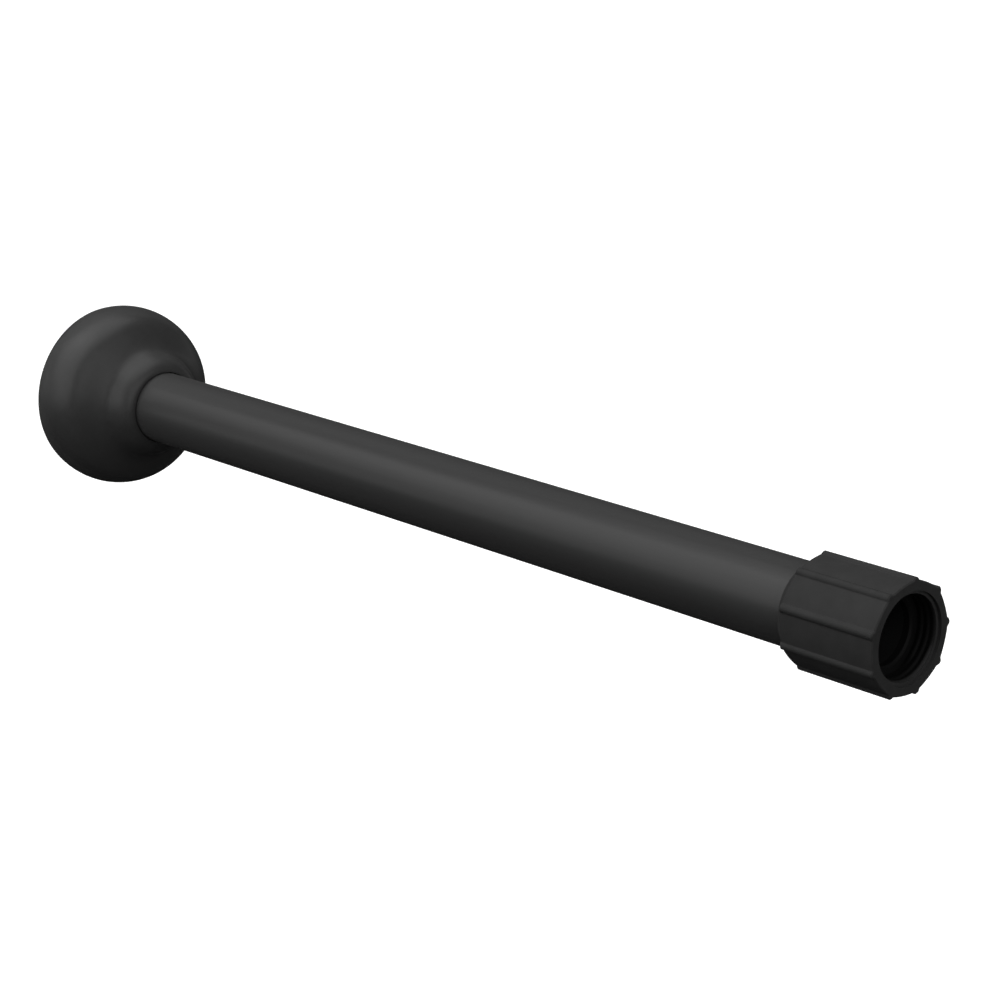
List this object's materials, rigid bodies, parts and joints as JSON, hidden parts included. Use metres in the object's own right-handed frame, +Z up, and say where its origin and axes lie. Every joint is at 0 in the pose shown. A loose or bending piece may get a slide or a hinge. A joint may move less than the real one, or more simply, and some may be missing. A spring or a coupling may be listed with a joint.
{
  "type": "shower arm",
  "caption": "Straight plastic shower arm: a pipe with a sliding bell flange at the wall end and a ribbed socket with a female pipe thread at the outlet.",
  "frame": {"origin": "on the pipe's axis, in the plane of the wall that the flange's rim rests on", "axes": "+X along the arm from the wall to the outlet, +Z up"},
  "size_m": [0.3313, 0.0554, 0.0554],
  "materials": {
    "pipe_plastic": "black, satin, extruded",
    "flange_plastic": "black, satin, moulded",
    "coupling_plastic": "black, matte, moulded"
  },
  "bodies": {
    "arm": {"arm_tube": "pipe_plastic", "outlet_coupling": "coupling_plastic"},
    "flange": {"wall_flange": "flange_plastic"}
  },
  "joints": [
    {"name": "flange_slide", "type": "slide", "parent": "arm", "child": "flange", "axis": [1, 0, 0], "range_m": [0, 0.2574]}
  ]
}
